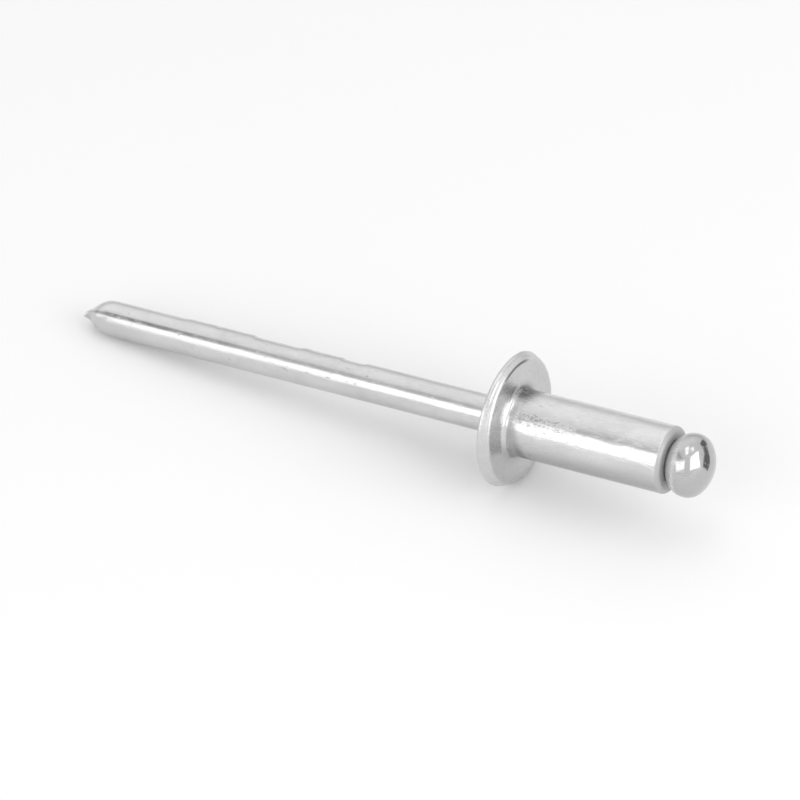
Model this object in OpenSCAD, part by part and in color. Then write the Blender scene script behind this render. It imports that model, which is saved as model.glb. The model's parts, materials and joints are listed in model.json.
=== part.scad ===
// Open-end blind rivet with a domed head: a hollow aluminium body on a headed steel mandrel.
// Both pieces are turned about one axis and lie together on a level surface.

/* [Shank] */
// Diameter of the shank that goes through the work
shank_d = 4; // [3.6:0.1:4.6]
// Length of the shank under the flange
shank_len = 9.7; // [7:0.1:18]
// Rounding of the outer edge at the tail end
tail_round = 0.3; // [0.1:0.05:0.4]
// Chamfer at the tail end of the bore
bore_chamfer = 0.1; // [0.05:0.01:0.15]

/* [Domed flange] */
// Diameter of the flange
flange_d = 8.05; // [7:0.05:9]
// Height of the dome, from the seat to its crown
dome_h = 1.4; // [1.3:0.05:1.7]
// Height at which the dome would meet the edge if the edge were sharp
edge_h = 0.92; // [0.8:0.02:1]
// Rounding of the flange's edge on the seat side
edge_seat_round = 0.45; // [0.1:0.05:0.5]
// Rounding of the flange's edge on the dome side
edge_dome_round = 0.2; // [0.1:0.05:0.3]
// Fillet between the seat and the shank
root_fillet = 0.3; // [0.1:0.05:0.5]
// Chamfer where the bore opens through the dome
mouth_chamfer = 0.1; // [0.05:0.01:0.2]

/* [Mandrel stem] */
// Diameter of the stem
stem_d = 2.2; // [2:0.05:2.4]
// Length of the mandrel that stands out of the dome
stem_out = 28.3; // [20:0.1:34]
// Angle between the point's side and its axis
point_angle = 38; // [32:1:44]
// Radius that blends the point into the stem
point_shoulder_r = 2.2; // [1.6:0.1:2.6]

/* [Grip inside the dome] */
// Length of the swell on the stem that holds the body
grip_len = 1.2; // [0.8:0.1:2]
// Distance by which the swell starts ahead of the dome's crown
grip_out = 0.05; // [0.05:0.01:0.1]

/* [Flash left by the pinched cut] */
// Length of the sliver of flash beside the point
flash_len = 0.82; // [0.4:0.02:0.9]
// Thickness of the sliver
flash_t = 0.08; // [0.06:0.01:0.12]
// Height of the sliver at its root
flash_h = 0.14; // [0.1:0.02:0.2]
// Angle between the sliver and the axis
flash_lean = 26; // [16:1:30]
// Turn of the sliver about the axis, from straight up
flash_turn = 45; // [0:1:359]

/* [Break notch] */
// Depth of each of the two crimps
notch_depth = 0.36; // [0.2:0.02:0.5]
// Angle between a crimp's sides and the stem's radius
notch_angle = 45; // [30:1:50]
// Distance from the tail end to the middle of the notch
notch_back = 2.2; // [1.5:0.1:3]
// Width left at the bottom of each crimp
notch_land = 0.12; // [0.05:0.01:0.3]

/* [Mandrel head] */
// Largest diameter of the head
head_d = 3.76; // [3.4:0.02:4]
// Length of the head in front of its largest diameter
head_front = 1.32; // [1.2:0.02:1.5]
// Radius of the head behind its largest diameter
head_back_r = 1.19; // [1:0.01:1.3]
// Radius of the head's front shoulder
head_shoulder_r = 1.05; // [0.9:0.01:1.15]
// Fillet of the flare between the stem and the head
neck_fillet = 0.45; // [0.35:0.01:0.6]

/* [Fit] */
// Gap all round between the stem and the bore
bore_gap = 0.08; // [0.04:0.01:0.12]
// Gap all round between the stem's swell and the bore
grip_gap = 0.01; // [0.005:0.005:0.03]
// Gap between the head's flare and the edge of the bore
flare_gap = 0.075; // [0.03:0.005:0.1]

/* [Rest] */
// Roll of the whole rivet about its own axis as it lies
rest_roll = 3; // [0:1:359]

/* [Hidden] */
$fn = 128;
// length by which a cutting shape runs past the face that it cuts
over = 1;

shank_r = shank_d / 2;
flange_r = flange_d / 2;
stem_r = stem_d / 2;
head_r = head_d / 2;
bore_r = stem_r + bore_gap;

// The axis runs along s, with s = 0 on the seat under the flange and the tail end at +s.
// Profiles are drawn with x as the radius and y as s.

// dome: one arc centred on the axis, through the crown and the sharp edge
dome_rise = dome_h - edge_h;
dome_r = (pow(flange_r, 2) + pow(dome_rise, 2)) / (2 * dome_rise);
dome_centre_s = dome_r - dome_h;
// its edge rounding touches the dome's arc and the flange's side
edge_dome_x = flange_r - edge_dome_round;
edge_dome_s = dome_centre_s - sqrt(pow(dome_r - edge_dome_round, 2) - pow(edge_dome_x, 2));
edge_dome_angle = asin(edge_dome_x / (dome_r - edge_dome_round));

// point: a cone whose side meets the stem through an arc
tip_s = -(dome_h + stem_out);
point_blend = point_shoulder_r * tan(point_angle / 2);
shoulder_s = tip_s + stem_r / tan(point_angle) + point_blend;
shoulder_x = stem_r - point_shoulder_r;
point_x = shoulder_x + point_shoulder_r * cos(point_angle);
point_s = shoulder_s - point_shoulder_r * sin(point_angle);

// grip: a rounded swell that starts at the dome's mouth and nearly fills the bore
grip_rise = bore_r - grip_gap - stem_r;
grip_arc_r = (pow(grip_len / 2, 2) + pow(grip_rise, 2)) / (2 * grip_rise);
grip_start_s = -dome_h - grip_out;

// head: the flare passes the bore's outer edge at the tail end with flare_gap to spare
flare_x = stem_r + neck_fillet;
flare_reach = flare_x - (bore_r + bore_chamfer - flare_gap);
flare_s = shank_len - sqrt(pow(neck_fillet, 2) - pow(flare_reach, 2));
back_x = head_r - head_back_r;
head_s = flare_s + sqrt(pow(head_back_r + neck_fillet, 2) - pow(flare_x - back_x, 2));
back_angle = atan((head_s - flare_s) / (flare_x - back_x));
front_x = head_r - head_shoulder_r;
crown_r = (pow(head_front, 2) + pow(head_r, 2) - 2 * head_r * head_shoulder_r)
    / (2 * (head_front - head_shoulder_r));
crown_s = head_s + head_front - crown_r;
crown_angle = atan(front_x / (head_s - crown_s));

// at rest the flange's edge and the point's shoulder touch the surface: one line touches both arcs
rest_ds = edge_dome_s - shoulder_s;
rest_dx = edge_dome_x - shoulder_x;
rest_span = sqrt(pow(rest_ds, 2) + pow(rest_dx, 2));
rest_tilt = atan(rest_dx / rest_ds) - asin((point_shoulder_r - edge_dome_round) / rest_span);
seat_height = edge_dome_x * cos(rest_tilt) - edge_dome_s * sin(rest_tilt) + edge_dome_round;
rest_x_low = tip_s * cos(rest_tilt);
rest_x_high = crown_s * cos(rest_tilt) + crown_r;

// rolls the turned pieces and lays them down, with the origin on the surface under the middle of their box
module at_rest() {
    translate([-(rest_x_low + rest_x_high) / 2, 0, seat_height])
        rotate([0, 90 - rest_tilt, 0])
            rotate([0, 0, rest_roll])
                children();
}

// part of a disc between two angles from +y, measured towards +x
module sector(r, from, to) {
    reach = 2 * r;
    mid = (from + to) / 2;
    intersection() {
        circle(r);
        polygon([
            [0, 0],
            [reach * sin(from), reach * cos(from)],
            [reach * sin(mid), reach * cos(mid)],
            [reach * sin(to), reach * cos(to)]
        ]);
    }
}

module flange_profile() {
    intersection() {
        translate([0, dome_centre_s])
            circle(dome_r);
        polygon([
            [0, edge_dome_s],
            [edge_dome_x, edge_dome_s],
            [edge_dome_x + over * sin(edge_dome_angle), edge_dome_s - over * cos(edge_dome_angle)],
            [0, -dome_h - over]
        ]);
    }
    translate([0, edge_dome_s])
        square([flange_r, -edge_seat_round - edge_dome_s]);
    translate([edge_dome_x, edge_dome_s])
        circle(edge_dome_round);
    translate([0, edge_dome_s])
        square([flange_r - edge_seat_round, -edge_dome_s]);
    translate([flange_r - edge_seat_round, -edge_seat_round])
        circle(edge_seat_round);
}

module shank_profile() {
    square([shank_r, shank_len - tail_round]);
    square([shank_r - tail_round, shank_len]);
    translate([shank_r - tail_round, shank_len - tail_round])
        circle(tail_round);
    difference() {
        square([shank_r + root_fillet, root_fillet]);
        translate([shank_r + root_fillet, root_fillet])
            circle(root_fillet);
    }
}

// bore with its chamfers at the tail end and through the dome
module bore_profile() {
    mouth_s = dome_centre_s - sqrt(pow(dome_r, 2) - pow(bore_r, 2));
    translate([-over, mouth_s - over])
        square([bore_r + over, shank_len - mouth_s + 2 * over]);
    polygon([
        [0, shank_len - bore_chamfer],
        [bore_r, shank_len - bore_chamfer],
        [bore_r + bore_chamfer + over, shank_len + over],
        [0, shank_len + over]
    ]);
    polygon([
        [0, mouth_s + mouth_chamfer],
        [bore_r, mouth_s + mouth_chamfer],
        [bore_r + mouth_chamfer + over, mouth_s - over],
        [0, mouth_s - over]
    ]);
}

module rivet_body() {
    color("silver")
        at_rest()
            rotate_extrude()
                difference() {
                    union() {
                        flange_profile();
                        shank_profile();
                    }
                    bore_profile();
                }
}

module stem_profile() {
    translate([0, shoulder_s])
        square([stem_r, flare_s - shoulder_s]);
    polygon([[0, tip_s], [point_x, point_s], [0, shoulder_s]]);
    // past the swell's ends its arc lies inside the stem
    intersection() {
        translate([stem_r + grip_rise - grip_arc_r, grip_start_s + grip_len / 2])
            circle(grip_arc_r);
        translate([0, grip_start_s - grip_len / 4])
            square([stem_r + over, grip_len * 1.5]);
    }
    // the blend laps into the stem, where its arc lies inside
    intersection() {
        translate([shoulder_x, shoulder_s])
            circle(point_shoulder_r);
        translate([0, point_s])
            square([stem_r, shoulder_s - point_s + stem_r / 2]);
    }
}

module head_profile() {
    // flare from the stem to the back of the head
    difference() {
        polygon([[0, flare_s], [flare_x, flare_s], [back_x, head_s], [0, head_s]]);
        translate([flare_x, flare_s])
            circle(neck_fillet);
    }
    translate([back_x, head_s])
        sector(head_back_r, 90, 90 + back_angle);
    translate([front_x, head_s])
        sector(head_shoulder_r, crown_angle, 90);
    translate([0, crown_s])
        sector(crown_r, 0, crown_angle);
}

// two opposed crimps that thin the stem where the pull breaks it
module break_notch() {
    floor_x = stem_r - notch_depth;
    side = (notch_depth + over) * tan(notch_angle);
    for (turn = [0, 180])
        rotate([0, 0, turn])
            translate([0, stem_r + over, shank_len - notch_back])
                rotate([90, 0, 0])
                    linear_extrude(stem_d + 2 * over)
                        polygon([
                            [floor_x, -notch_land / 2],
                            [floor_x, notch_land / 2],
                            [stem_r + over, notch_land / 2 + side],
                            [stem_r + over, -notch_land / 2 - side]
                        ]);
}

// thin sliver left standing where the cutting dies pinched the wire off
module flash_sliver() {
    rotate([0, 0, 180 - flash_turn])
        translate([0, flash_t / 2, 0])
            rotate([90, 0, 0])
                linear_extrude(flash_t)
                    polygon([
                        [point_x - flash_h, point_s],
                        [point_x, point_s],
                        [point_x - flash_len * sin(flash_lean), point_s - flash_len * cos(flash_lean)]
                    ]);
}

module mandrel() {
    color("gainsboro")
        at_rest() {
            difference() {
                rotate_extrude() {
                    stem_profile();
                    head_profile();
                }
                break_notch();
            }
            flash_sliver();
        }
}

rivet_body();
mandrel();
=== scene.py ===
import json
import math

import bpy
from mathutils import Matrix, Vector, noise


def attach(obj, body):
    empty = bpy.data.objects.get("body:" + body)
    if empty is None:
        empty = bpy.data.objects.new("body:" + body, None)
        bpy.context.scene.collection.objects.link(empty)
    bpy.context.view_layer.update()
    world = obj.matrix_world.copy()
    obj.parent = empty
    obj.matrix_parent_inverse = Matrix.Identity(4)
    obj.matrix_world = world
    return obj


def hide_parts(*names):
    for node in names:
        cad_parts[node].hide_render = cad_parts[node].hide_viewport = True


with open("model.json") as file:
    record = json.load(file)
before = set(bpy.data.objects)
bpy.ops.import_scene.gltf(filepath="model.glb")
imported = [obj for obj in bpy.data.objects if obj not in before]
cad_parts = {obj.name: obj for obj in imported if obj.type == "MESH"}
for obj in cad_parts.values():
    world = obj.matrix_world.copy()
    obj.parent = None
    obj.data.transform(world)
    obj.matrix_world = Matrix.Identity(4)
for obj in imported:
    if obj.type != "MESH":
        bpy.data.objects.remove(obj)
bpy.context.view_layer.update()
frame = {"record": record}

# Sizes of the rivet, in millimetres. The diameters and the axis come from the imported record.
MM = 0.001
MOUNTS = {mount["name"]: mount for mount in frame["record"]["mounts"]}
SHANK_R = MOUNTS["shank"]["dims"]["r_mm"]
STEM_R = MOUNTS["mandrel_stem"]["dims"]["r_mm"]
ROOT_FILLET = 0.3
TAIL_ROUND = 0.3
SHANK_LEN = MOUNTS["shank"]["dims"]["length_mm"] + ROOT_FILLET + TAIL_ROUND
FLANGE_R = 4.025
DOME_H = 1.4
EDGE_H = 0.92
EDGE_SEAT_ROUND = 0.25
RIM_DRAFT = 0.16
EDGE_DOME_ROUND = 0.2
BORE_R = STEM_R + 0.08
BORE_CHAMFER = 0.1
GRIP_RISE = 0.07
GRIP_LEN = 1.2
GRIP_OUT = 0.05
STEM_OUT = 28.3
TIP_S = -(DOME_H + STEM_OUT)
POINT_ANGLE = math.radians(38)
POINT_SHOULDER_R = 2.2
POINT_BLEND = POINT_SHOULDER_R * math.tan(POINT_ANGLE / 2)
SHOULDER_S = TIP_S + STEM_R / math.tan(POINT_ANGLE) + POINT_BLEND
HEAD_R = 1.88
HEAD_FRONT = 1.32
HEAD_BACK_R = 1.19
HEAD_SHOULDER_R = 1.05
NECK_FILLET = 0.45
FLARE_GAP = 0.075
NOTCH_DEPTH = 0.36
NOTCH_BACK = 2.2
NOTCH_LAND = 0.12
# How far the tip of the point was pushed off the axis and drawn out, and the flange headed off the axis
POINT_OFF = 0.42
POINT_DRAWN = 0.11
FLANGE_OFF = 0.066
# How far the seat sank in round the root, and how much thinner the flange's edge came out at the dome
SEAT_SINK = 0.28
RIM_LOSS = 0.13
# Middle of the painted shade line in the seat's crease, as a radius
CREASE_R = 3.66

# The rivet's own axis: local Z runs along it from the point to the head, with 0 on the seat.
AXIS = Vector(MOUNTS["shank"]["axis"]).normalized()
SHANK_MIDDLE = ROOT_FILLET + MOUNTS["shank"]["dims"]["length_mm"] / 2
SEAT_CENTRE = Vector(MOUNTS["shank"]["pos_m"]) - AXIS * SHANK_MIDDLE * MM
AXIS_TILT = math.asin(AXIS.z)
LIE = Matrix.Rotation(math.pi / 2 - AXIS_TILT, 4, "Y")
LAY_DOWN = Matrix.Translation(SEAT_CENTRE) @ LIE

# Turns about the axis are given in degrees from straight up towards +Y.
UPPER_SIDE = 42
LOWER_SIDE = UPPER_SIDE + 180
# Where the rim's seat sank most, where the dome side lost most, where the galled streak runs, and where the
# crease's painted shade and the stem's painted dark reflection lie
THIN_SIDE = -15
SHORT_SIDE = 12
CREASE_SIDE = 6
GALLED_SIDE = -41
DARK_STREAK_SIDE = -39.5


def side_of(turn):
    """Local direction square to the axis at a turn in degrees."""
    return Vector((-math.cos(math.radians(turn)), math.sin(math.radians(turn)), 0))


def line(start, end, step):
    """Points (radius, station) from start to end, without the last."""
    count = max(1, round(math.dist(start, end) / step))
    return [(start[0] + (end[0] - start[0]) * i / count, start[1] + (end[1] - start[1]) * i / count)
            for i in range(count)]


def arc(centre, radius, start, end, step):
    """Points on an arc between two angles from +radius towards +station, without the last."""
    count = max(2, round(radius * abs(end - start) / step))
    return [(centre[0] + radius * math.cos(start + (end - start) * i / count),
             centre[1] + radius * math.sin(start + (end - start) * i / count))
            for i in range(count)]


def body_profile(step):
    """Closed outline of the rivet body's wall, from the mouth in the dome round to the bore."""
    rise = DOME_H - EDGE_H
    dome_r = (FLANGE_R ** 2 + rise ** 2) / (2 * rise)
    dome_centre = dome_r - DOME_H
    edge_x = FLANGE_R - EDGE_DOME_ROUND
    edge_s = dome_centre - math.sqrt((dome_r - EDGE_DOME_ROUND) ** 2 - edge_x ** 2)
    edge_angle = math.asin(edge_x / (dome_r - EDGE_DOME_ROUND))
    mouth_r = BORE_R + BORE_CHAMFER
    mouth_s = dome_centre - math.sqrt(dome_r ** 2 - mouth_r ** 2)
    mouth_angle = math.asin(mouth_r / dome_r)
    down = -math.pi / 2
    # the rim's wall leans in a little towards the seat, as it left the die
    lean = math.atan2(RIM_DRAFT, -EDGE_SEAT_ROUND - edge_s)
    seat_edge = FLANGE_R - RIM_DRAFT - EDGE_SEAT_ROUND * math.cos(lean)
    rim_end = (FLANGE_R - RIM_DRAFT, EDGE_SEAT_ROUND * (math.sin(lean) - 1))
    tail_x = SHANK_R - TAIL_ROUND
    tail_s = SHANK_LEN - TAIL_ROUND
    points = []
    points += arc((0, dome_centre), dome_r, down + mouth_angle, down + edge_angle, step)
    points += arc((edge_x, edge_s), EDGE_DOME_ROUND, down + edge_angle, 0, step / 3)
    points += line((FLANGE_R, edge_s), rim_end, step / 2)
    points += arc((seat_edge, -EDGE_SEAT_ROUND), EDGE_SEAT_ROUND, lean, math.pi / 2, step / 3)
    points += line((seat_edge, 0), (SHANK_R + ROOT_FILLET, 0), step)
    points += arc((SHANK_R + ROOT_FILLET, ROOT_FILLET), ROOT_FILLET, down, -math.pi, step / 3)
    points += line((SHANK_R, ROOT_FILLET), (SHANK_R, tail_s), step)
    points += arc((tail_x, tail_s), TAIL_ROUND, 0, math.pi / 2, step / 3)
    points += line((tail_x, SHANK_LEN), (mouth_r, SHANK_LEN), step)
    points += line((mouth_r, SHANK_LEN), (BORE_R, SHANK_LEN - BORE_CHAMFER), step / 2)
    points += line((BORE_R, SHANK_LEN - BORE_CHAMFER), (BORE_R, mouth_s + BORE_CHAMFER), step * 6)
    points += line((BORE_R, mouth_s + BORE_CHAMFER), (mouth_r, mouth_s), step / 2)
    return points


def mandrel_profile(step):
    """Outline of the mandrel from the tip of its point to the crown of its head."""
    shoulder_x = STEM_R - POINT_SHOULDER_R
    point = (shoulder_x + POINT_SHOULDER_R * math.cos(POINT_ANGLE),
             SHOULDER_S - POINT_SHOULDER_R * math.sin(POINT_ANGLE))
    grip_s = -DOME_H - GRIP_OUT
    grip_arc_r = (GRIP_LEN ** 2 / 4 + GRIP_RISE ** 2) / (2 * GRIP_RISE)
    grip_angle = math.asin(GRIP_LEN / 2 / grip_arc_r)
    grip_centre = (STEM_R + GRIP_RISE - grip_arc_r, grip_s + GRIP_LEN / 2)
    flare_x = STEM_R + NECK_FILLET
    flare_reach = flare_x - (BORE_R + BORE_CHAMFER - FLARE_GAP)
    flare_s = SHANK_LEN - math.sqrt(NECK_FILLET ** 2 - flare_reach ** 2)
    back_x = HEAD_R - HEAD_BACK_R
    head_s = flare_s + math.sqrt((HEAD_BACK_R + NECK_FILLET) ** 2 - (flare_x - back_x) ** 2)
    flare_angle = math.atan2(head_s - flare_s, flare_x - back_x)
    front_x = HEAD_R - HEAD_SHOULDER_R
    crown_r = ((HEAD_FRONT ** 2 + HEAD_R ** 2 - 2 * HEAD_R * HEAD_SHOULDER_R)
               / (2 * (HEAD_FRONT - HEAD_SHOULDER_R)))
    crown_s = head_s + HEAD_FRONT - crown_r
    crown_angle = math.atan2(head_s - crown_s, front_x)
    points = []
    points += line((0, TIP_S), point, step / 2)
    points += arc((shoulder_x, SHOULDER_S), POINT_SHOULDER_R, -POINT_ANGLE, 0, step / 2)
    points += line((STEM_R, SHOULDER_S), (STEM_R, grip_s), step)
    points += arc(grip_centre, grip_arc_r, -grip_angle, grip_angle, step)
    points += line((STEM_R, grip_s + GRIP_LEN), (STEM_R, flare_s), step)
    points += arc((flare_x, flare_s), NECK_FILLET, math.pi, math.pi - flare_angle, step / 2)
    points += arc((back_x, head_s), HEAD_BACK_R, -flare_angle, 0, step / 2)
    points += arc((front_x, head_s), HEAD_SHOULDER_R, 0, crown_angle, step / 2)
    points += arc((0, crown_s), crown_r, crown_angle, math.pi / 2, step / 2)
    points.append((0, crown_s + crown_r))
    return points


def draw_profile(name, points):
    """Draws an outline in the XZ plane, each vertex pulled on from the last."""
    bpy.ops.object.select_all(action="DESELECT")
    bpy.ops.mesh.primitive_circle_add(vertices=3, radius=0.1, location=(0, 0, 0))
    piece = bpy.context.object
    piece.name = name
    piece.data.name = name
    bpy.ops.object.mode_set(mode="EDIT")
    bpy.ops.mesh.select_all(action="SELECT")
    bpy.ops.mesh.merge(type="CENTER")
    bpy.ops.transform.translate(value=(points[0][0], 0, points[0][1]))
    for start, end in zip(points, points[1:]):
        bpy.ops.mesh.extrude_vertices_move(
            TRANSFORM_OT_translate={"value": (end[0] - start[0], 0, end[1] - start[1])})
    return piece


def spin_profile(around, closed):
    """Turns the drawn outline about the local Z axis and closes the surface."""
    bpy.ops.mesh.select_all(action="SELECT")
    if closed:
        bpy.ops.mesh.edge_face_add()
        bpy.ops.mesh.delete(type="ONLY_FACE")
        bpy.ops.mesh.select_all(action="SELECT")
    bpy.ops.mesh.spin(steps=around, angle=2 * math.pi, center=(0, 0, 0), axis=(0, 0, 1),
                      use_auto_merge=False)
    bpy.ops.mesh.select_all(action="SELECT")
    bpy.ops.mesh.remove_doubles(threshold=0.0005)
    bpy.ops.mesh.normals_make_consistent(inside=False)
    bpy.ops.object.mode_set(mode="OBJECT")


def smooth(value):
    """Rises from 0 to 1 with level ends as value goes from 0 to 1."""
    value = min(max(value, 0), 1)
    return value * value * (3 - 2 * value)


def swell(value):
    """1 at value 0, and 0 with a level end at value 1 and past it, on both sides."""
    return 1 - smooth(abs(value))


def unevenness(place, across, along, seed):
    """Smooth noise from 0 to 1, with its own scale across and along the axis, in millimetres."""
    point = Vector((place.x / across, place.y / across, place.z / along + seed))
    return min(max(0.5 + 0.7 * noise.noise(point), 0), 1)


def turn_of(place):
    return math.degrees(math.atan2(place.y, -place.x))


def turn_between(turn, other):
    return (turn - other + 180) % 360 - 180


# Nicks and shallow dents: (station, turn, radius, depth), the radius measured on the surface
BODY_NICKS = [
    (2.3, 2, 0.16, 0.016),
    (5.5, -2, 0.34, 0.012),
    (4.6, -98, 0.30, 0.012),
    (7.8, -118, 0.20, 0.010),
    (3.1, -63, 0.12, 0.010),
    (6.4, 150, 0.30, 0.015),
    (1.9, 108, 0.22, 0.014),
    (7.6, 66, 0.18, 0.012),
]
STEM_NICKS = [
    (-17.9, -11, 0.13, 0.022),
    (-23.1, -112, 0.12, 0.015),
    (-9.6, -84, 0.15, 0.010),
    (-13.9, 160, 0.25, 0.014),
    (-5.4, 95, 0.20, 0.012),
    (-25.2, -150, 0.20, 0.012),
]
# Long flattened stretches along the upper side of the stem: (from, to, length of the ramps, depth)
STEM_HOLLOWS = [
    (-28.2, -22.4, 0.6, 0.050),
    (-20.8, -20.3, 0.2, 0.025),
    (-18.3, -14.6, 0.5, 0.080),
    (-14.6, -12.1, 0.5, 0.022),
    (-12.3, -10.4, 0.35, 0.080),
]


def nick_depth(nicks, place, radius):
    depth = 0
    for station, turn, size, deep in nicks:
        along = place.z - station
        if abs(along) < size:
            across = math.radians(turn_between(turn_of(place), turn)) * radius
            depth += deep * swell(math.hypot(along, across) / size)
    return depth


def wear_body(piece):
    """Gives the body's outside the unevenness of cold heading, and sets its flange off the axis."""
    for vertex in piece.data.vertices:
        place = vertex.co
        radius = math.hypot(place.x, place.y)
        if radius < BORE_R + BORE_CHAMFER + 0.02:
            continue
        outwards = Vector((place.x, place.y, 0)) / radius
        if place.z > ROOT_FILLET and radius > SHANK_R - 0.01:
            near_root = 1 - smooth((place.z - 2.0) / 3.5)
            dip = 0.006 * unevenness(place, 1.6, 5.0, 3)
            dip += (0.0016 + 0.0024 * near_root) * unevenness(place, 0.30, 0.75, 11)
            # ring left by the mouth of the heading die
            dip += 0.004 * swell((place.z - 1.45) / 0.14)
            dip += nick_depth(BODY_NICKS, place, SHANK_R)
            place -= outwards * dip
        elif place.z > SHANK_LEN - TAIL_ROUND:
            place -= outwards * 0.010 * unevenness(place, 0.5, 0.5, 5)
            place.z -= 0.012 * unevenness(place, 0.45, 1.0, 7)
        elif radius > FLANGE_R - EDGE_SEAT_ROUND:
            # the flange's edge filled the die unevenly, most of all on its upper side
            bitten = 0.4 + 0.6 * swell(turn_between(turn_of(place), UPPER_SIDE - 30) / 70)
            place -= outwards * (0.012 * unevenness(place, 1.1, 1.1, 1)
                                 + 0.014 * bitten * unevenness(place, 0.28, 0.22, 9))
        elif place.z > -0.5:
            # seat: a slightly hollow ring that the die pressed
            middle = (radius - SHANK_R - ROOT_FILLET) / (FLANGE_R - EDGE_SEAT_ROUND - SHANK_R - ROOT_FILLET)
            place.z -= 0.020 * swell(2 * middle - 1) + 0.008 * unevenness(place, 0.9, 0.9, 2)
        else:
            place.z += 0.012 * unevenness(place, 1.0, 1.0, 4)
        if place.z < ROOT_FILLET:
            place += side_of(UPPER_SIDE) * FLANGE_OFF * smooth((radius - SHANK_R) / (2 * ROOT_FILLET))
        place.z += rim_loss(place, radius) - seat_sink(place, radius)


def rim_loss(place, radius):
    """How much thinner the flange came out on its dome side, round the top of its edge."""
    round_edge = swell(turn_between(turn_of(place), SHORT_SIDE) / 80)
    towards_edge = smooth((radius - 2.4) / 1.2)
    towards_dome = smooth(-(place.z + 0.25) / 0.3)
    return RIM_LOSS * round_edge * towards_edge * towards_dome


def seat_sink(place, radius):
    """How far the seat lies below a true plane: sunk round the root, and the rim thinner at one side."""
    outer = smooth((radius - SHANK_R - ROOT_FILLET) / (FLANGE_R - SHANK_R - 2 * ROOT_FILLET))
    near = 0.5 + 0.5 * math.cos(math.radians(turn_of(place) - THIN_SIDE))
    fade = smooth((place.z + EDGE_H) / EDGE_H) * (1 - smooth((place.z - ROOT_FILLET) / 2.5))
    return SEAT_SINK * fade * (1 - outer * (1 - near))


def wear_mandrel(piece):
    """Notches the stem, gives the wire its hollows, and bends, draws out and pinches the point."""
    notch_s = SHANK_LEN - NOTCH_BACK
    floor = STEM_R - NOTCH_DEPTH
    for vertex in piece.data.vertices:
        place = vertex.co
        radius = math.hypot(place.x, place.y)
        reach = floor + max(0, abs(place.z - notch_s) - NOTCH_LAND / 2)
        if reach < STEM_R:
            place.x = min(max(place.x, -reach), reach)
        if radius < 0.02:
            outwards = Vector((0, 0, 0))
        else:
            outwards = Vector((place.x, place.y, 0)) / radius
        if place.z < -DOME_H - GRIP_OUT:
            dip = 0.004 * unevenness(place, 0.8, 4.0, 21)
            dip += 0.0014 * unevenness(place, 0.22, 0.9, 23)
            dip += nick_depth(STEM_NICKS, place, STEM_R)
            upper = swell(turn_between(turn_of(place), UPPER_SIDE) / 55)
            for start, end, ramp, deep in STEM_HOLLOWS:
                dip += deep * upper * smooth((place.z - start) / ramp) * smooth((end - place.z) / ramp)
            place -= outwards * dip * smooth((radius - 0.1) / 0.5)
        if place.z > SHANK_LEN + 0.35:
            dip = 0.012 * unevenness(place, 0.9, 0.9, 31) + 0.006 * unevenness(place, 0.33, 0.33, 37)
            place -= outwards * dip
        if place.z < SHOULDER_S:
            bend = (SHOULDER_S - place.z) / (SHOULDER_S - TIP_S)
            place -= side_of(UPPER_SIDE) * POINT_OFF * bend ** 3
            place.z -= POINT_DRAWN * bend ** 3
            # the cutting dies left two flats that meet in a short chisel edge
            pinch = smooth((bend - 0.45) / 0.5)
            aside = side_of(UPPER_SIDE + 35)
            place -= aside * place.dot(aside) * 0.35 * pinch


# The sliver at the point: size of its root block, where that lies, and the steps it is drawn out in
FLASH_ROOT = (0.13, 0.09, 0.05)
FLASH_RADIUS = 0.56
FLASH_UP = 0.82
FLASH_STEPS = 9
FLASH_STEP = 0.088
FLASH_TAPER = (0.84, 0.93, 1)


def make_flash():
    """The sliver left standing where the dies pinched the wire off, thin and a little curled."""
    bpy.ops.object.select_all(action="DESELECT")
    bpy.ops.mesh.primitive_cube_add(size=1, location=(0, 0, 0))
    sliver = bpy.context.object
    bpy.ops.object.mode_set(mode="EDIT")
    bpy.ops.mesh.select_all(action="SELECT")
    bpy.ops.transform.resize(value=FLASH_ROOT)
    bpy.ops.transform.translate(value=(FLASH_RADIUS, 0, TIP_S + FLASH_UP))
    bpy.ops.mesh.select_all(action="DESELECT")
    bpy.ops.object.mode_set(mode="OBJECT")
    for face in sliver.data.polygons:
        face.select = face.normal.z < -0.9
    bpy.ops.object.mode_set(mode="EDIT")
    bpy.ops.mesh.select_mode(type="FACE")
    for step in range(FLASH_STEPS):
        lean = 0.22 + 0.055 * step
        step_by = (-FLASH_STEP * math.sin(lean), 0, -FLASH_STEP * math.cos(lean))
        bpy.ops.mesh.extrude_region_move(TRANSFORM_OT_translate={"value": step_by})
        bpy.ops.transform.resize(value=FLASH_TAPER)
    bpy.ops.mesh.select_mode(type="VERT")
    bpy.ops.mesh.select_all(action="SELECT")
    bpy.ops.mesh.normals_make_consistent(inside=False)
    bpy.ops.object.mode_set(mode="OBJECT")
    turn = Matrix.Rotation(math.pi - math.radians(UPPER_SIDE), 4, "Z")
    for vertex in sliver.data.vertices:
        vertex.co = turn @ vertex.co
    return sliver


def lay_down(piece):
    """Scales the piece to metres and lays it on the surface, with its place in its mesh."""
    bpy.ops.object.select_all(action="DESELECT")
    piece.select_set(True)
    bpy.context.view_layer.objects.active = piece
    piece.matrix_world = LAY_DOWN @ Matrix.Scale(MM, 4)
    bpy.ops.object.transform_apply(location=True, rotation=True, scale=True)
    bpy.ops.object.shade_smooth_by_angle(angle=math.radians(38))


def add_node(tree, kind, x, y, **settings):
    node = tree.nodes.new(kind)
    node.location = (x, y)
    for key, value in settings.items():
        setattr(node, key, value)
    return node


def set_inputs(node, **values):
    """Sets sockets by name, with the spaces in a name written as underscores."""
    for key, value in values.items():
        node.inputs[key.replace("_", " ")].default_value = value


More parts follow.
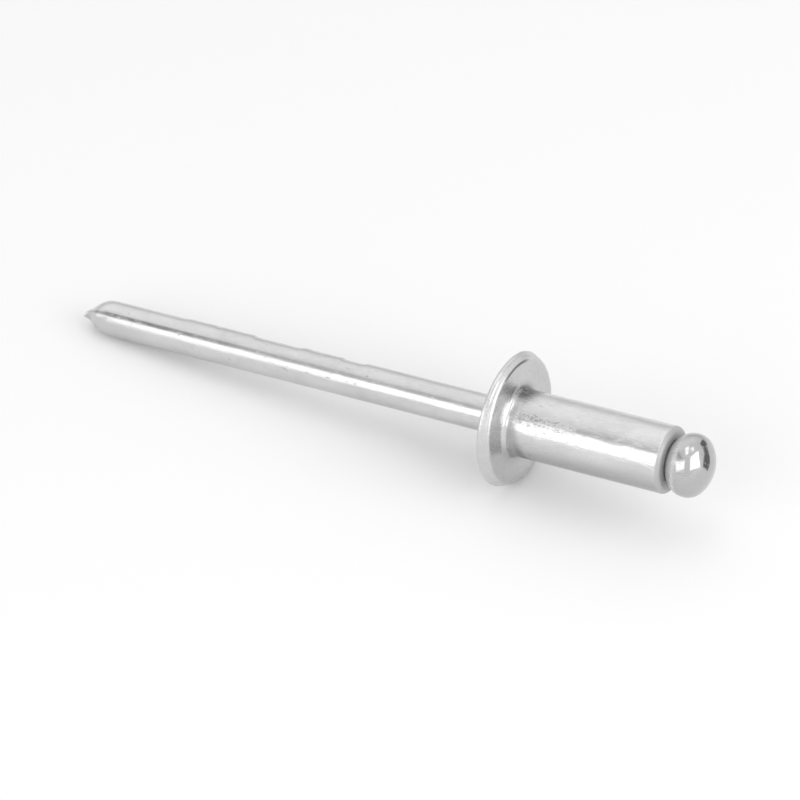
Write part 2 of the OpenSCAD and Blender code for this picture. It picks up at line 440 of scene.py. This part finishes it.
def begin_group(name, inputs, outputs):
    """A node group whose sockets are (label, kind) pairs, with its input and output nodes."""
    tree = bpy.data.node_groups.new(name, "ShaderNodeTree")
    for label, kind in inputs:
        tree.interface.new_socket(label, in_out="INPUT", socket_type=kind)
    for label, kind in outputs:
        tree.interface.new_socket(label, in_out="OUTPUT", socket_type=kind)
    start = add_node(tree, "NodeGroupInput", -900, 0)
    end = add_node(tree, "NodeGroupOutput", 900, 0)
    return tree, start, end


def use_group(tree, group, x, y):
    return add_node(tree, "ShaderNodeGroup", x, y, node_tree=group)


def rivet_axis_group():
    """Object coordinates turned into millimetres along and round the rivet's own axis."""
    tree, start, end = begin_group(
        "rivet_axis", [("Object", "NodeSocketVector")],
        [("Place", "NodeSocketVector"), ("Station", "NodeSocketFloat"), ("Radius", "NodeSocketFloat")])
    turned = LIE.inverted()
    centred = add_node(tree, "ShaderNodeMapping", -700, 0)
    set_inputs(centred, Scale=(1 / MM, 1 / MM, 1 / MM), Rotation=tuple(turned.to_euler()),
               Location=tuple(turned @ -SEAT_CENTRE / MM))
    parts = add_node(tree, "ShaderNodeSeparateXYZ", -450, -150)
    flat = add_node(tree, "ShaderNodeVectorMath", -450, -350, operation="MULTIPLY")
    flat.inputs[1].default_value = (1, 1, 0)
    length = add_node(tree, "ShaderNodeVectorMath", -200, -350, operation="LENGTH")
    tree.links.new(start.outputs["Object"], centred.inputs["Vector"])
    tree.links.new(centred.outputs["Vector"], parts.inputs["Vector"])
    tree.links.new(centred.outputs["Vector"], flat.inputs[0])
    tree.links.new(flat.outputs["Vector"], length.inputs[0])
    tree.links.new(centred.outputs["Vector"], end.inputs["Place"])
    tree.links.new(parts.outputs["Z"], end.inputs["Station"])
    tree.links.new(length.outputs["Value"], end.inputs["Radius"])
    return tree


def stretched_noise(tree, source, x, y, scale, detail, roughness=0.55, distortion=0.0):
    """Noise with its own scale on each local axis, per millimetre."""
    stretch = add_node(tree, "ShaderNodeMapping", x, y)
    set_inputs(stretch, Scale=scale)
    grain = add_node(tree, "ShaderNodeTexNoise", x + 200, y)
    set_inputs(grain, Scale=1.0, Detail=detail, Roughness=roughness, Distortion=distortion)
    tree.links.new(source, stretch.inputs["Vector"])
    tree.links.new(stretch.outputs["Vector"], grain.inputs["Vector"])
    return grain


def ranged(tree, source, x, y, low, high, to_low=0.0, to_high=1.0):
    """Maps low..high of a value to a new range, with soft ends."""
    node = add_node(tree, "ShaderNodeMapRange", x, y)
    node.interpolation_type = "SMOOTHSTEP"
    set_inputs(node, From_Min=low, From_Max=high, To_Min=to_low, To_Max=to_high)
    tree.links.new(source, node.inputs["Value"])
    return node.outputs["Result"]


def combined(tree, operation, first, second, x, y):
    """A math node on two values, each a socket or a number."""
    node = add_node(tree, "ShaderNodeMath", x, y, operation=operation)
    for index, value in enumerate((first, second)):
        if isinstance(value, (int, float)):
            node.inputs[index].default_value = value
        else:
            tree.links.new(value, node.inputs[index])
    return node.outputs["Value"]


def drawing_lines_group():
    """Fine lines along the axis: Height for the surface, Sheen for its gloss."""
    tree, start, end = begin_group(
        "drawing_lines", [("Place", "NodeSocketVector")],
        [("Height", "NodeSocketFloat"), ("Sheen", "NodeSocketFloat")])
    place = start.outputs["Place"]
    fine = stretched_noise(tree, place, -600, 250, (11, 11, 0.55), 3, 0.6)
    coarse = stretched_noise(tree, place, -600, -50, (3.4, 3.4, 0.8), 2, 0.5, 0.4)
    height = combined(tree, "MULTIPLY", fine.outputs["Fac"], 0.45, 0, 250)
    height = combined(tree, "ADD", height, coarse.outputs["Fac"], 200, 200)
    sheen = ranged(tree, fine.outputs["Fac"], 0, -150, 0.36, 0.66)
    tree.links.new(height, end.inputs["Height"])
    tree.links.new(sheen, end.inputs["Sheen"])
    return tree


def handling_marks_group():
    """Marks of tumbling in a box: Flecks are small pits, Rubs are dulled patches."""
    tree, start, end = begin_group(
        "handling_marks", [("Place", "NodeSocketVector")],
        [("Flecks", "NodeSocketFloat"), ("Rubs", "NodeSocketFloat")])
    place = start.outputs["Place"]
    pits = stretched_noise(tree, place, -600, 300, (6.5, 6.5, 3.6), 4, 0.72, 0.6)
    areas = stretched_noise(tree, place, -600, 0, (1.1, 1.1, 0.55), 2)
    rubs = stretched_noise(tree, place, -600, -300, (2.2, 2.2, 0.7), 5, 0.7, 1.2)
    sharp = ranged(tree, pits.outputs["Fac"], -100, 300, 0.60, 0.70)
    patchy = ranged(tree, areas.outputs["Fac"], -100, 0, 0.40, 0.64)
    tree.links.new(combined(tree, "MULTIPLY", sharp, patchy, 200, 150), end.inputs["Flecks"])
    tree.links.new(ranged(tree, rubs.outputs["Fac"], -100, -300, 0.50, 0.68), end.inputs["Rubs"])
    return tree


def cloudiness_group():
    """Soft uneven brightness of a bare or plated surface, in two sizes."""
    tree, start, end = begin_group(
        "cloudiness", [("Place", "NodeSocketVector")], [("Cloud", "NodeSocketFloat")])
    place = start.outputs["Place"]
    wide = stretched_noise(tree, place, -600, 200, (0.7, 0.7, 0.35), 3, 0.5, 0.5)
    small = stretched_noise(tree, place, -600, -100, (3.0, 3.0, 1.6), 5, 0.65, 0.8)
    half = combined(tree, "MULTIPLY", small.outputs["Fac"], 0.6, 0, -100)
    both = combined(tree, "ADD", wide.outputs["Fac"], half, 200, 50)
    tree.links.new(ranged(tree, both, 450, 50, 0.58, 1.04), end.inputs["Cloud"])
    return tree


RIVET_AXIS = rivet_axis_group()
DRAWING_LINES = drawing_lines_group()
HANDLING_MARKS = handling_marks_group()
CLOUDINESS = cloudiness_group()


def begin_material(name):
    """A metal with its place on the rivet and the shared effects ready to use."""
    material = bpy.data.materials.new(name)
    material.use_nodes = True
    tree = material.node_tree
    shader = tree.nodes["Principled BSDF"]
    shader.location = (1300, 100)
    tree.nodes["Material Output"].location = (1650, 100)
    set_inputs(shader, Metallic=1.0)
    coordinates = add_node(tree, "ShaderNodeTexCoord", -1500, 0)
    axis = use_group(tree, RIVET_AXIS, -1300, 0)
    tree.links.new(coordinates.outputs["Object"], axis.inputs["Object"])
    effects = []
    for row, group in enumerate((DRAWING_LINES, HANDLING_MARKS, CLOUDINESS)):
        node = use_group(tree, group, -1000, 300 - 300 * row)
        tree.links.new(axis.outputs["Place"], node.inputs["Place"])
        effects.append(node)
    return material, tree, shader, axis, effects


def facing(tree, axis, turn, low, high, x, y):
    """Mask of the side of the rivet at a turn: 0 where the cosine is low, 1 where it is high."""
    dot = add_node(tree, "ShaderNodeVectorMath", x, y, operation="DOT_PRODUCT")
    tree.links.new(axis.outputs["Place"], dot.inputs[0])
    dot.inputs[1].default_value = side_of(turn)
    cosine = combined(tree, "DIVIDE", dot.outputs["Value"], axis.outputs["Radius"], x + 200, y)
    return ranged(tree, cosine, x + 400, y, low, high)


def grey_mix(tree, factor, first, second, x, y):
    """A colour between two greys, each a number or a colour socket."""
    node = add_node(tree, "ShaderNodeMix", x, y, data_type="RGBA")
    for name, value in (("A_Color", first), ("B_Color", second)):
        socket = next(entry for entry in node.inputs if entry.identifier == name)
        if isinstance(value, (int, float)):
            socket.default_value = (value, value, value, 1)
        else:
            tree.links.new(value, socket)
    tree.links.new(factor, node.inputs["Factor"])
    return next(entry for entry in node.outputs if entry.identifier == "Result_Color")


def add_share(tree, value, mask, share, x, y):
    """A value with a share of a mask added."""
    part = combined(tree, "MULTIPLY", mask, share, x - 200, y - 100)
    return combined(tree, "ADD", value, part, x, y)


def add_bump(tree, height, distance, strength, x, y, normal=None):
    node = add_node(tree, "ShaderNodeBump", x, y)
    set_inputs(node, Distance=distance, Strength=strength)
    tree.links.new(height, node.inputs["Height"])
    if normal is not None:
        tree.links.new(normal, node.inputs["Normal"])
    return node.outputs["Normal"]


def galled_streak(tree, axis, torn, on_shank):
    """Mask of the streak where the drawing compound ran out, from the root along the shank."""
    streak = facing(tree, axis, GALLED_SIDE, 0.975, 0.998, -1300, 900)
    reach = ranged(tree, axis.outputs["Station"], -700, 1100, 4.8, 2.5)
    streak = combined(tree, "MULTIPLY", streak, reach, -400, 1000)
    streak = combined(tree, "MULTIPLY", streak, on_shank, -300, 1000)
    broken = ranged(tree, torn.outputs["Fac"], -600, 1300, 0.50, 0.60)
    return combined(tree, "MULTIPLY", streak, broken, -200, 1000)


def root_painted_shade(tree, axis, torn):
    """Mask of painted shade in the root corner, most of it on the upper side."""
    station = axis.outputs["Station"]
    upper = facing(tree, axis, UPPER_SIDE, 0.45, 0.85, -1300, 1400)
    lower = facing(tree, axis, LOWER_SIDE, 0.6, 0.95, -1300, 1700)
    lower = combined(tree, "MULTIPLY", lower, 0.25, -800, 1700)
    sides = combined(tree, "MAXIMUM", upper, lower, -700, 1500)
    above_seat = ranged(tree, station, -700, 1700, -0.40, -0.20)
    along = ranged(tree, station, -700, 1900, 1.5, 0.2)
    low = combined(tree, "MULTIPLY", above_seat, along, -400, 1700)
    near_shank = ranged(tree, axis.outputs["Radius"], -700, 2100, SHANK_R + 0.5, SHANK_R + 0.1)
    low = combined(tree, "MULTIPLY", low, near_shank, -200, 1700)
    corner_shade = combined(tree, "MULTIPLY", low, sides, 0, 1500)
    patchy = ranged(tree, torn.outputs["Fac"], -600, 1500, 0.3, 0.6, 0.45, 1)
    return combined(tree, "MULTIPLY", corner_shade, patchy, 200, 1500)


def crease_painted_shade(tree, axis):
    """Mask of painted shade along the crease where the seat meets the rim on the upper side."""
    radius = axis.outputs["Radius"]
    inner = ranged(tree, radius, -700, 2300, CREASE_R - 0.14, CREASE_R - 0.04)
    outer = ranged(tree, radius, -700, 2500, CREASE_R + 0.14, CREASE_R + 0.04)
    crease = combined(tree, "MULTIPLY", inner, outer, -400, 2300)
    side = facing(tree, axis, CREASE_SIDE, 0.90, 0.98, -1300, 2300)
    crease = combined(tree, "MULTIPLY", crease, side, -200, 2300)
    on_seat = ranged(tree, axis.outputs["Station"], -700, 2700, -0.45, -0.35)
    return combined(tree, "MULTIPLY", crease, on_seat, 0, 2300)


def aluminium_material():
    """Bright cold-headed aluminium: rubbed shank, satin pressed seat, duller tail face."""
    material, tree, shader, axis, (lines, marks, cloud) = begin_material("cold_headed_aluminium")
    station = axis.outputs["Station"]
    radius = axis.outputs["Radius"]
    tail = ranged(tree, station, -700, 700, SHANK_LEN - 0.30, SHANK_LEN - 0.16)
    flange = ranged(tree, radius, -700, 500, SHANK_R + 0.10, SHANK_R + 0.45)
    root = ranged(tree, station, -700, 300, 4.2, 1.0)
    on_shank = ranged(tree, station, -700, 100, ROOT_FILLET, ROOT_FILLET + 0.3)
    towards_root = ranged(tree, root, -450, 300, 0, 1, 0.35, 1)
    off_flange = ranged(tree, on_shank, -450, 100, 0, 1, 0.3, 1)
    amount = combined(tree, "MULTIPLY", towards_root, off_flange, -300, 200)
    flecks = combined(tree, "MULTIPLY", marks.outputs["Flecks"], amount, -100, 300)
    torn = stretched_noise(tree, axis.outputs["Place"], -1000, 1100, (5.5, 5.5, 2.6), 5, 0.75, 0.8)
    flecks = combined(tree, "MAXIMUM", flecks, galled_streak(tree, axis, torn, on_shank), 0, 900)
    # painted shade: the shank is darker on its lower side, towards the floor
    underside_painted_shade = facing(tree, axis, LOWER_SIDE, 0.40, 0.95, -1300, -900)
    underside_painted_shade = combined(tree, "MULTIPLY", underside_painted_shade, on_shank, -400, -900)
    colour = grey_mix(tree, cloud.outputs["Cloud"], 0.62, 0.70, 0, 500)
    colour = grey_mix(tree, flecks, colour, 0.44, 200, 500)
    colour = grey_mix(tree, ranged(tree, flange, -200, 600, 0, 1, 0, 0.5), colour, 0.56, 400, 500)
    colour = grey_mix(tree, underside_painted_shade, colour, 0.45, 500, 700)
    colour = grey_mix(tree, tail, colour, 0.46, 600, 500)
    # painted shade darkens the root corner
    colour = grey_mix(tree, root_painted_shade(tree, axis, torn), colour, 0.14, 800, 500)
    # painted shade along the seat's crease on the upper side
    colour = grey_mix(tree, crease_painted_shade(tree, axis), colour, 0.16, 1000, 500)
    tree.links.new(colour, shader.inputs["Base Color"])
    # the cut tail face is matt, so it takes light like a dull surface
    tree.links.new(ranged(tree, tail, 800, 300, 0, 1, 1, 0.35), shader.inputs["Metallic"])
    gloss = ranged(tree, lines.outputs["Sheen"], 0, 150, 0, 1, 0.17, 0.24)
    gloss = add_share(tree, gloss, marks.outputs["Rubs"], 0.09, 200, 100)
    gloss = add_share(tree, gloss, flange, 0.10, 400, 100)
    gloss = add_share(tree, gloss, tail, 0.26, 600, 100)
    tree.links.new(gloss, shader.inputs["Roughness"])
    drawn = ranged(tree, flange, 0, -300, 0, 1, 1, 0.1)
    ridges = combined(tree, "MULTIPLY", lines.outputs["Height"], drawn, 200, -300)
    normal = add_bump(tree, ridges, 0.012 * MM, 1.0, 400, -300)
    normal = add_bump(tree, marks.outputs["Rubs"], 0.004 * MM, 0.8, 600, -300, normal)
    normal = add_bump(tree, flecks, -0.016 * MM, 1.0, 800, -300, normal)
    tree.links.new(normal, shader.inputs["Normal"])
    return material


def stem_painted_reflection(tree, axis):
    """Mask of a painted dark reflection streak along the stem, broken up and strongest towards the point.
    """
    dark_streak = facing(tree, axis, DARK_STREAK_SIDE, 0.992, 0.9988, -1300, 1200)
    towards_point = ranged(tree, axis.outputs["Station"], -700, 1200, -13, -26)
    dark_streak = combined(tree, "MULTIPLY", dark_streak, towards_point, -400, 1200)
    broken = stretched_noise(tree, axis.outputs["Place"], -1000, 1500, (6, 6, 1.8), 4, 0.7, 0.6)
    broken = ranged(tree, broken.outputs["Fac"], -600, 1500, 0.34, 0.58, 0.25, 1)
    return combined(tree, "MULTIPLY", dark_streak, broken, -200, 1300)


def zinc_material():
    """Zinc-plated drawn wire with a polished pressed head and a raw cut at the point."""
    material, tree, shader, axis, (lines, marks, cloud) = begin_material("zinc_plated_wire")
    station = axis.outputs["Station"]
    head = ranged(tree, station, -700, 700, SHANK_LEN + 0.1, SHANK_LEN + 0.6)
    front = ranged(tree, station, -700, 900, SHANK_LEN + 0.95, SHANK_LEN + 0.75)
    neck = ranged(tree, station, -500, 900, SHANK_LEN - 0.3, SHANK_LEN - 0.1)
    neck = combined(tree, "MULTIPLY", neck, front, -300, 900)
    cut = ranged(tree, station, -700, 500, TIP_S + 1.0, TIP_S + 0.35)
    colour = grey_mix(tree, cloud.outputs["Cloud"], 0.59, 0.66, 0, 500)
    colour = grey_mix(tree, ranged(tree, head, -200, 600, 0, 1, 0, 0.85), colour, 0.48, 100, 600)
    colour = grey_mix(tree, marks.outputs["Flecks"], colour, 0.42, 200, 500)
    # painted light: the back of the head is lighter than the head, to lift the shade between head and tail
    # face
    colour = grey_mix(tree, neck, colour, 0.57, 300, 400)
    colour = grey_mix(tree, cut, colour, 0.52, 400, 500)
    # painted dark reflection streak along the stem
    colour = grey_mix(tree, stem_painted_reflection(tree, axis), colour, 0.34, 600, 600)
    tree.links.new(colour, shader.inputs["Base Color"])
    gloss = ranged(tree, lines.outputs["Sheen"], 0, 150, 0, 1, 0.15, 0.21)
    gloss = add_share(tree, gloss, marks.outputs["Rubs"], 0.08, 200, 100)
    gloss = add_share(tree, gloss, head, -0.05, 400, 100)
    gloss = add_share(tree, gloss, cut, 0.12, 600, 100)
    gloss = add_share(tree, gloss, neck, 0.14, 800, 100)
    tree.links.new(gloss, shader.inputs["Roughness"])
    # the back of the head kept the dull skin of the pressing
    tree.links.new(ranged(tree, neck, 800, 300, 0, 1, 1, 0.5), shader.inputs["Metallic"])
    drawn = ranged(tree, head, 0, -300, 0, 1, 1, 0.1)
    ridges = combined(tree, "MULTIPLY", lines.outputs["Height"], drawn, 200, -300)
    normal = add_bump(tree, ridges, 0.008 * MM, 1.0, 400, -300)
    normal = add_bump(tree, marks.outputs["Flecks"], -0.012 * MM, 1.0, 600, -300, normal)
    tree.links.new(normal, shader.inputs["Normal"])
    return material


def make_rivet_body():
    piece = draw_profile("rivet_body_finished", body_profile(0.09))
    spin_profile(180, closed=True)
    wear_body(piece)
    lay_down(piece)
    piece.data.materials.append(aluminium_material())
    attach(piece, "root")
    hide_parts("rivet_body")


def make_mandrel():
    piece = draw_profile("mandrel_finished", mandrel_profile(0.1))
    spin_profile(128, closed=False)
    sliver = make_flash()
    bpy.ops.object.select_all(action="DESELECT")
    sliver.select_set(True)
    piece.select_set(True)
    bpy.context.view_layer.objects.active = piece
    bpy.ops.object.join()
    wear_mandrel(piece)
    lay_down(piece)
    piece.data.materials.append(zinc_material())
    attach(piece, "root")
    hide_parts("mandrel")


make_rivet_body()
make_mandrel()

# Camera: where the photograph was taken from, worked out from the rivet's outline.
# The head end leans towards the camera, and the axis slopes down to the right in the picture.
AXIS_TO_CAMERA = math.radians(25.6)
AXIS_SLOPE = math.radians(14.33)
CAMERA_DISTANCE = 300
PIXELS_PER_MM = 17.35
SEAT_PIXEL = (522.75, 422.4)
PICTURE = 800


def camera_elevation():
    """Height angle at which the resting axis shows both angles with the camera held level."""
    across = math.cos(AXIS_TO_CAMERA) * math.sin(AXIS_SLOPE)
    along = math.sin(AXIS_TO_CAMERA)
    return math.asin(AXIS.z / math.hypot(across, along)) + math.atan2(across, along)


def make_camera():
    elevation = camera_elevation()
    # the rivet's axis and the upright, in the camera's own right, up and back directions
    axis = Vector((math.cos(AXIS_TO_CAMERA) * math.cos(AXIS_SLOPE),
                   -math.cos(AXIS_TO_CAMERA) * math.sin(AXIS_SLOPE),
                   math.sin(AXIS_TO_CAMERA)))
    upright = Vector((0, math.cos(elevation), math.sin(elevation)))
    ahead = (axis - AXIS.z * upright).normalized()
    turn = Matrix((ahead, upright.cross(ahead), upright))
    offset_x = (SEAT_PIXEL[0] - PICTURE / 2) / PIXELS_PER_MM
    offset_y = (PICTURE / 2 - SEAT_PIXEL[1]) / PIXELS_PER_MM
    place = SEAT_CENTRE + turn @ Vector((-offset_x, -offset_y, CAMERA_DISTANCE)) * MM
    bpy.ops.object.camera_add(location=place, rotation=turn.to_euler())
    camera = bpy.context.object
    camera.name = "photo_camera"
    camera.data.sensor_width = 36
    camera.data.lens = PIXELS_PER_MM * CAMERA_DISTANCE / PICTURE * camera.data.sensor_width
    bpy.context.scene.camera = camera


def make_floor():
    bpy.ops.object.select_all(action="DESELECT")
    bpy.ops.mesh.primitive_plane_add(size=1.2, location=(0, 0, 0))
    floor = bpy.context.object
    floor.name = "pale_floor"
    material = bpy.data.materials.new("pale_floor")
    material.use_nodes = True
    shader = material.node_tree.nodes["Principled BSDF"]
    set_inputs(shader, Base_Color=(0.96, 0.96, 0.96, 1), Roughness=0.9)
    shader.inputs["Specular IOR Level"].default_value = 0
    floor.data.materials.append(material)


def direction(azimuth, elevation):
    """Unit vector at an azimuth from +X towards +Y and an elevation, both in degrees."""
    azimuth, elevation = math.radians(azimuth), math.radians(elevation)
    return Vector((math.cos(azimuth) * math.cos(elevation), math.sin(azimuth) * math.cos(elevation),
                   math.sin(elevation)))


def card_frame(azimuth, elevation, roll):
    """Turn of a flat card that faces the rivet: its X to the side, its Y up, its Z away from the rivet."""
    away = direction(azimuth, elevation)
    side = Vector((0, 0, 1)).cross(away).normalized()
    up = away.cross(side)
    turn = Matrix((side, up, away)).transposed()
    return turn @ Matrix.Rotation(math.radians(roll), 3, "Z")


# Distance of the lamps in metres, and what is left of their brightness at the edge
LAMP_DISTANCE = 0.30
LAMP_EDGE = 0.52


def softbox(name, azimuth, elevation, roll, width, height, radiance, fades):
    """A rectangular lamp, its width and height in degrees seen from the rivet.

    fades gives the share of the width that it dims over at either side, and the share of the height.
    """
    turn = card_frame(azimuth, elevation, roll)
    bpy.ops.object.light_add(type="AREA", location=SEAT_CENTRE + turn.col[2] * LAMP_DISTANCE,
                             rotation=turn.to_euler())
    lamp = bpy.context.object
    lamp.name = name
    lamp.data.shape = "RECTANGLE"
    lamp.data.size = 2 * LAMP_DISTANCE * math.tan(math.radians(width / 2))
    lamp.data.size_y = 2 * LAMP_DISTANCE * math.tan(math.radians(height / 2))
    lamp.data.energy = 4 * lamp.data.size * lamp.data.size_y * radiance
    lamp.visible_camera = False
    lamp.data.use_nodes = True
    tree = lamp.data.node_tree
    glow = tree.nodes["Emission"]
    face = add_node(tree, "ShaderNodeNewGeometry", -1100, 0)
    parts = add_node(tree, "ShaderNodeSeparateXYZ", -900, 0)
    tree.links.new(face.outputs["Parametric"], parts.inputs["Vector"])
    left = ranged(tree, parts.outputs["X"], -500, 200, 0, fades[0], LAMP_EDGE, 1)
    right = ranged(tree, parts.outputs["X"], -500, 0, 1, 1 - fades[1], LAMP_EDGE, 1)
    low = ranged(tree, parts.outputs["Y"], -500, -200, 0, fades[2], LAMP_EDGE, 1)
    high = ranged(tree, parts.outputs["Y"], -500, -400, 1, 1 - fades[2], LAMP_EDGE, 1)
    across = combined(tree, "MINIMUM", left, right, -300, 100)
    along = combined(tree, "MINIMUM", low, high, -300, -300)
    tree.links.new(combined(tree, "MINIMUM", across, along, -100, 0), glow.inputs["Strength"])


# The dark card: its azimuth and roll in degrees, its size, how narrow its waist is and how far that
# reaches, and its place from the head's crown. Lengths are in millimetres.
FLAG_AZIMUTH = 50
FLAG_ROLL = 40
FLAG_SIZE = (11.0, 4.4)
FLAG_WAIST = 0.62
FLAG_WAIST_REACH = 3.5
FLAG_AWAY = 8
FLAG_ASIDE = -0.7
FLAG_UP = 1.9


def make_flag():
    """A small dark card beside the head, seen only in the metal: it stands in for the shade beside the head
    and gives the polish some contrast.
    """
    turn = card_frame(FLAG_AZIMUTH, 0, FLAG_ROLL)
    crown = SEAT_CENTRE + AXIS * (SHANK_LEN + HEAD_FRONT) * MM
    away = direction(FLAG_AZIMUTH, 0) * FLAG_AWAY
    aside = direction(FLAG_AZIMUTH + 90, 0) * FLAG_ASIDE
    place = crown + (away + aside + Vector((0, 0, FLAG_UP))) * MM
    bpy.ops.object.select_all(action="DESELECT")
    bpy.ops.mesh.primitive_plane_add(size=1, location=(0, 0, 0))
    flag = bpy.context.object
    flag.name = "dark_flag"
    flag.scale = (FLAG_SIZE[0] * MM, FLAG_SIZE[1] * MM, 1)
    bpy.ops.object.transform_apply(scale=True)
    bpy.ops.object.mode_set(mode="EDIT")
    bpy.ops.mesh.select_all(action="SELECT")
    bpy.ops.mesh.subdivide(number_cuts=3)
    bpy.ops.object.mode_set(mode="OBJECT")
    for vertex in flag.data.vertices:
        towards_end = smooth(abs(vertex.co.x) / (FLAG_WAIST_REACH * MM))
        vertex.co.y *= FLAG_WAIST + (1 - FLAG_WAIST) * towards_end
    flag.rotation_euler = turn.to_euler()
    flag.location = place
    flag.visible_camera = False
    flag.visible_diffuse = False
    flag.visible_shadow = False
    material = bpy.data.materials.new("dark_card")
    material.use_nodes = True
    set_inputs(material.node_tree.nodes["Principled BSDF"], Base_Color=(0.2, 0.2, 0.2, 1), Roughness=0.8)
    flag.data.materials.append(material)


def make_lamps():
    softbox("left_softbox", -103, 29, 26, 52, 34, 1.08, (0.26, 0.08, 0.44))
    softbox("right_softbox", -5, 28, -22, 46, 45, 1.45, (0.08, 0.08, 0.08))


def card_group():
    """1 inside a soft-edged rectangle of directions, and 0 outside it."""
    tree, start, end = begin_group(
        "studio_card",
        [("Direction", "NodeSocketVector"), ("Facing", "NodeSocketVector"), ("Side", "NodeSocketVector"),
         ("Up", "NodeSocketVector"), ("Half Width", "NodeSocketFloat"), ("Half Height", "NodeSocketFloat"),
         ("Softness", "NodeSocketFloat")],
        [("Mask", "NodeSocketFloat")])
    ahead = add_node(tree, "ShaderNodeVectorMath", -650, 300, operation="DOT_PRODUCT")
    tree.links.new(start.outputs["Direction"], ahead.inputs[0])
    tree.links.new(start.outputs["Facing"], ahead.inputs[1])
    mask = ranged(tree, ahead.outputs["Value"], -400, 300, 0.0, 0.2)
    for row, (axis, half) in enumerate((("Side", "Half Width"), ("Up", "Half Height"))):
        y = -200 * row
        dot = add_node(tree, "ShaderNodeVectorMath", -650, y, operation="DOT_PRODUCT")
        tree.links.new(start.outputs["Direction"], dot.inputs[0])
        tree.links.new(start.outputs[axis], dot.inputs[1])
        slope = combined(tree, "DIVIDE", dot.outputs["Value"], ahead.outputs["Value"], -450, y)
        offset = combined(tree, "ABSOLUTE", slope, 0.0, -250, y)
        inside = combined(tree, "SUBTRACT", start.outputs[half], offset, -50, y)
        inside = combined(tree, "DIVIDE", inside, start.outputs["Softness"], 150, y)
        mask = combined(tree, "MULTIPLY", mask, ranged(tree, inside, 350, y, -1.0, 1.0), 600, y)
    tree.links.new(mask, end.inputs["Mask"])
    return tree


# Soft cards round the set, seen in reflections and as light, on white:
# (azimuth, elevation, roll, width, height, softness, radiance), all angles in degrees
STUDIO_CARDS = [
    (117, 0, 0, 130, 36, 16, 0.72),
    (140, 48, 0, 80, 34, 12, 1.14),
    (-142, 46, 14, 50, 15, 7, 0.62),
    (-152, 84, 6, 32, 16, 3, 2.2),
    (-152, 15, 37, 42, 12, 4, 1.55),
    (36, 69, 24, 18, 14, 3, 2.0),
]
STUDIO_LIGHT = 0.75


def studio_colour(tree):
    """White with the soft cards on it."""
    coordinates = add_node(tree, "ShaderNodeTexCoord", -900, 0)
    group = card_group()
    colour = 1.0
    for row, (azimuth, elevation, roll, width, height, soft, radiance) in enumerate(STUDIO_CARDS):
        card = use_group(tree, group, -500, -350 * row)
        turn = card_frame(azimuth, elevation, roll)
        set_inputs(card, Facing=tuple(turn.col[2]), Side=tuple(turn.col[0]), Up=tuple(turn.col[1]))
        set_inputs(card, Half_Width=math.tan(math.radians(width / 2)),
                   Half_Height=math.tan(math.radians(height / 2)), Softness=math.radians(soft))
        tree.links.new(coordinates.outputs["Generated"], card.inputs["Direction"])
        colour = grey_mix(tree, card.outputs["Mask"], colour, radiance, -200 + 200 * row, -100 * row)
    return colour


def make_world():
    """White to the camera, white with the studio's cards in metal, and a softer dome for the light."""
    world = bpy.data.worlds.new("studio")
    bpy.context.scene.world = world
    world.use_nodes = True
    tree = world.node_tree
    colour = studio_colour(tree)
    dome = tree.nodes["Background"]
    dome.location = (1000, -200)
    set_inputs(dome, Strength=STUDIO_LIGHT)
    seen = add_node(tree, "ShaderNodeBackground", 1000, 0)
    set_inputs(seen, Strength=1.0)
    backdrop = add_node(tree, "ShaderNodeBackground", 1000, 200)
    set_inputs(backdrop, Color=(1, 1, 1, 1), Strength=1.0)
    tree.links.new(colour, dome.inputs["Color"])
    tree.links.new(colour, seen.inputs["Color"])
    path = add_node(tree, "ShaderNodeLightPath", 1000, 600)
    in_metal = combined(tree, "MAXIMUM", path.outputs["Is Glossy Ray"], path.outputs["Is Transmission Ray"],
                        1250, 300)
    reflected = add_node(tree, "ShaderNodeMixShader", 1450, -100)
    tree.links.new(in_metal, reflected.inputs["Fac"])
    tree.links.new(dome.outputs["Background"], reflected.inputs[1])
    tree.links.new(seen.outputs["Background"], reflected.inputs[2])
    behind = add_node(tree, "ShaderNodeMixShader", 1650, 0)
    tree.links.new(path.outputs["Is Camera Ray"], behind.inputs["Fac"])
    tree.links.new(reflected.outputs["Shader"], behind.inputs[1])
    tree.links.new(backdrop.outputs["Background"], behind.inputs[2])
    tree.links.new(behind.outputs["Shader"], tree.nodes["World Output"].inputs["Surface"])
    tree.nodes["World Output"].location = (1850, 0)


make_camera()
make_floor()
make_flag()
make_lamps()
make_world()
bpy.context.scene.view_settings.view_transform = "Standard"
